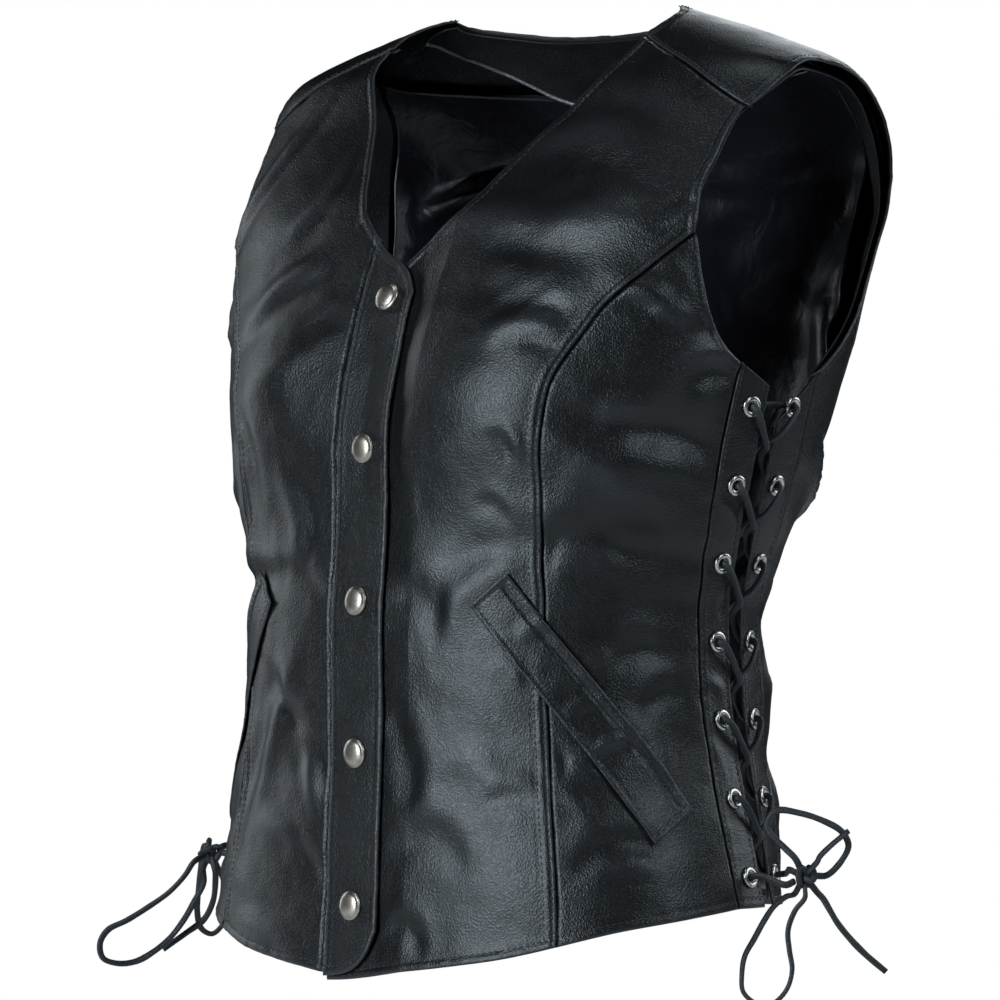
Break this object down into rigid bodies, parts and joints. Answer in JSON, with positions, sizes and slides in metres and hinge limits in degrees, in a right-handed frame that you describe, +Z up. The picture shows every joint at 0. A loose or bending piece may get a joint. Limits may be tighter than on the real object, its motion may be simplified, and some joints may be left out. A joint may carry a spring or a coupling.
{
  "type": "women's leather biker vest, worn form with no wearer",
  "caption": "Sleeveless black leather biker vest with a snap placket, V-neck, slanted welt pockets and laced sides, in its worn hollow form",
  "frame": {"origin": "between the shoulders at the centre plane, at the height of the middle of the shoulder straps, where the wearer's shoulders hold the vest up", "axes": "+Z up, the chest faces -Y, the wearer's left is +X"},
  "size_m": [0.4592, 0.2531, 0.5106],
  "materials": {
    "leather": "black full-grain leather, fine pebble grain, semi-gloss",
    "facing_leather": "black leather facing, low gloss",
    "lining_satin": "black satin lining",
    "lace_leather": "black leather thong lace",
    "snap_metal": "antique pewter domed snap cap",
    "eyelet_metal": "antique nickel eyelet"
  },
  "bodies": {
    "root": {"front_left_panel": "leather", "front_right_panel": "leather", "front_left_side_panel": "leather", "front_right_side_panel": "leather", "placket": "leather", "snap_cap_1": "snap_metal", "snap_cap_2": "snap_metal", "snap_cap_3": "snap_metal", "snap_cap_4": "snap_metal", "snap_cap_5": "snap_metal", "back": "leather", "lace_strip_front_left": "leather", "lace_strip_back_left": "leather", "lace_strip_front_right": "leather", "lace_strip_back_right": "leather", "eyelet_front_left_1": "eyelet_metal", "eyelet_front_left_2": "eyelet_metal", "eyelet_front_left_3": "eyelet_metal", "eyelet_front_left_4": "eyelet_metal", "eyelet_front_left_5": "eyelet_metal", "eyelet_front_left_6": "eyelet_metal", "eyelet_front_left_7": "eyelet_metal", "eyelet_back_left_1": "eyelet_metal", "eyelet_back_left_2": "eyelet_metal", "eyelet_back_left_3": "eyelet_metal", "eyelet_back_left_4": "eyelet_metal", "eyelet_back_left_5": "eyelet_metal", "eyelet_back_left_6": "eyelet_metal", "eyelet_back_left_7": "eyelet_metal", "eyelet_front_right_1": "eyelet_metal", "eyelet_front_right_2": "eyelet_metal", "eyelet_front_right_3": "eyelet_metal", "eyelet_front_right_4": "eyelet_metal", "eyelet_front_right_5": "eyelet_metal", "eyelet_front_right_6": "eyelet_metal", "eyelet_front_right_7": "eyelet_metal", "eyelet_back_right_1": "eyelet_metal", "eyelet_back_right_2": "eyelet_metal", "eyelet_back_right_3": "eyelet_metal", "eyelet_back_right_4": "eyelet_metal", "eyelet_back_right_5": "eyelet_metal", "eyelet_back_right_6": "eyelet_metal", "eyelet_back_right_7": "eyelet_metal", "welt_left": "leather", "welt_right": "leather", "armhole_facing_left": "facing_leather", "armhole_facing_right": "facing_leather", "neck_facing": "facing_leather", "lining_back": "lining_satin", "lace_left": "lace_leather", "lace_right": "lace_leather", "bow_knot_left": "lace_leather", "bow_loop_left_upper": "lace_leather", "bow_loop_left_lower": "lace_leather", "bow_tail_left_short": "lace_leather", "bow_tail_left_long": "lace_leather", "bow_knot_right": "lace_leather", "bow_loop_right_front": "lace_leather", "bow_loop_right_back": "lace_leather", "bow_tail_right": "lace_leather"}
  },
  "joints": []
}
